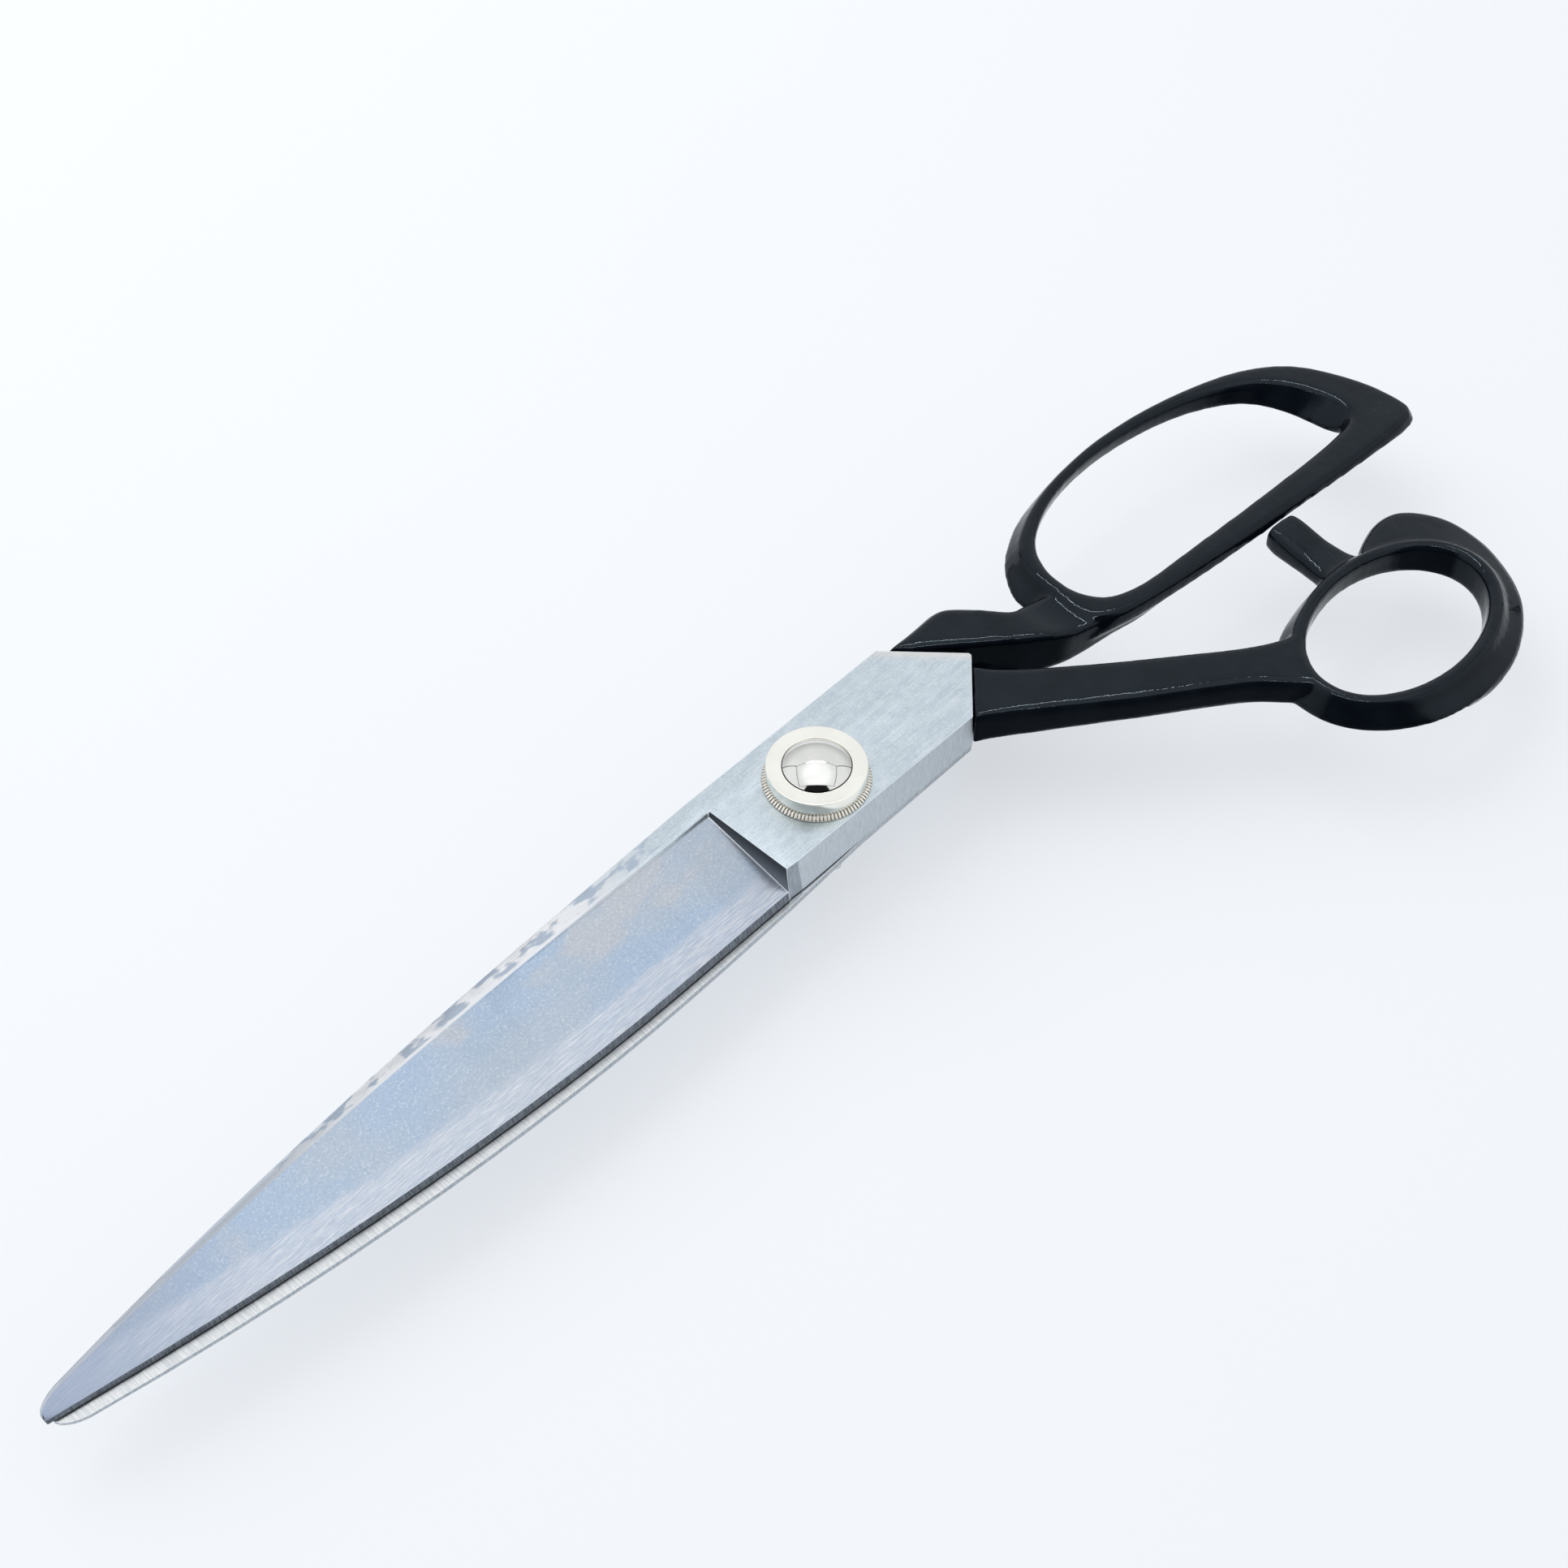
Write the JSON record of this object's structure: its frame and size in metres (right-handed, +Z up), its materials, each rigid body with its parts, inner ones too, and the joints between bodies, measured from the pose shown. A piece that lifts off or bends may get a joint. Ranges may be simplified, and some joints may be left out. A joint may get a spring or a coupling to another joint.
{
  "type": "fabric shears",
  "caption": "Long bent tailor's shears: two steel blades on a domed adjustable pivot, with a black enamelled thumb ring and a long finger loop.",
  "frame": {"origin": "centre of the flat tail end of the pivot bolt, on the pivot axis, where the shears touch the table", "axes": "+X along the shears from the pivot to the bows (tips towards -X), +Y towards the spine of the upper blade and the finger loop's back, +Z up along the pivot axis towards the domed head"},
  "size_m": [0.2998, 0.0877, 0.0258],
  "materials": {
    "front_blade_steel": "satin ground, lengthwise",
    "rear_blade_steel": "satin ground, lengthwise",
    "thumb_enamel": "thick glossy black enamel",
    "finger_enamel": "thick glossy black enamel",
    "bolt_chrome": "polished",
    "collar_nickel": "satin nickel plate",
    "washer_nickel": "nickel plate, brownish in the grooves",
    "friction_brass": "plain",
    "spring_steel": "tempered",
    "nut_steel": "bright plated"
  },
  "bodies": {
    "finger_half": {"rear_blade": "rear_blade_steel", "rear_handle": "finger_enamel", "friction_washer": "friction_brass"},
    "thumb_half": {"front_blade": "front_blade_steel", "front_handle": "thumb_enamel", "pivot_bolt": "bolt_chrome", "head_collar": "collar_nickel", "knurled_washer": "washer_nickel"},
    "spring": {"spring_washer": "spring_steel"},
    "nut": {"tension_nut": "nut_steel"}
  },
  "joints": [
    {"name": "blade_pivot", "type": "hinge", "parent": "finger_half", "child": "thumb_half", "pos_m": [0, 0, 0.01315], "axis": [0, 0, -1], "range_deg": [0, 60]},
    {"name": "spring_travel", "type": "slide", "parent": "thumb_half", "child": "spring", "axis": [0, 0, -1], "range_m": [0, 0.0005]},
    {"name": "nut_turn", "type": "hinge", "parent": "spring", "child": "nut", "pos_m": [0, 0, 0.0025], "axis": [0, 0, -1], "range_deg": [0, 180]}
  ],
  "couplings": [
    {"joint": "nut_turn", "follows": "spring_travel", "rad_per_m": 6283.2}
  ]
}
